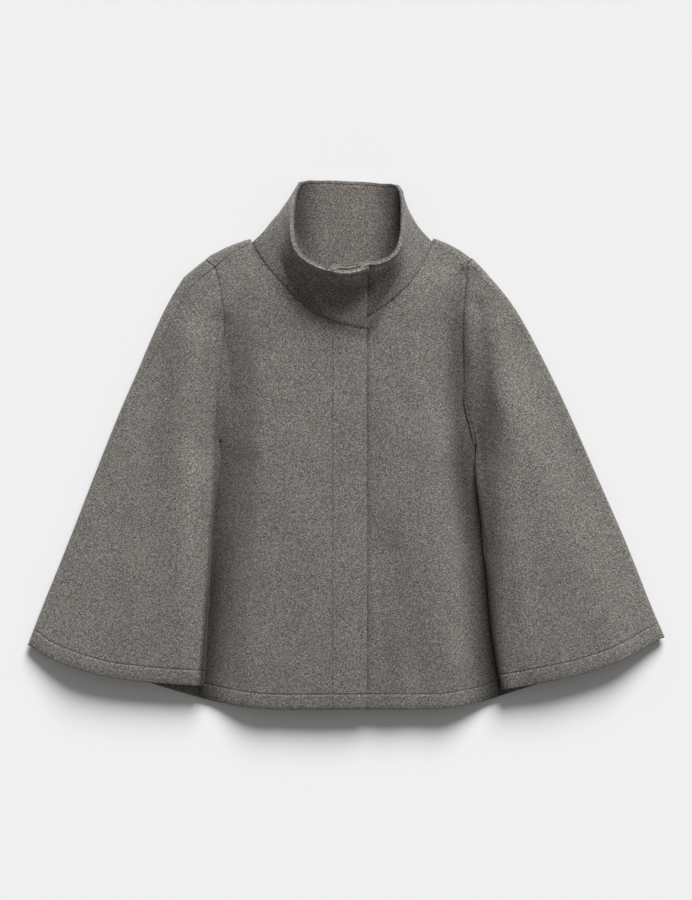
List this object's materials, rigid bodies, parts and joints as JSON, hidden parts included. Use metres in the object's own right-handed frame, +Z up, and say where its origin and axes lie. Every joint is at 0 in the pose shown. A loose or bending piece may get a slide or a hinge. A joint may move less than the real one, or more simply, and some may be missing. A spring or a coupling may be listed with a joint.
{
  "type": "cape coat",
  "caption": "Short wool cape coat lying flat, with wide cape sleeves, a fly-front placket and a standing funnel collar.",
  "frame": {"origin": "under the middle of the coat's bounding box, on the surface that the back lies on", "axes": "+X across the coat towards the wearer's left sleeve, +Y from the hem towards the collar, +Z up away from the surface"},
  "size_m": [0.8214, 0.6826, 0.089],
  "materials": {
    "wool": "brushed wool melange",
    "wool_facing": "brushed wool melange"
  },
  "bodies": {
    "root": {"back": "wool", "front_right": "wool", "front_left": "wool", "sleeve_front_right": "wool", "sleeve_back_right": "wool", "sleeve_front_left": "wool", "sleeve_back_left": "wool", "collar": "wool", "collar_facing": "wool_facing"}
  },
  "joints": []
}
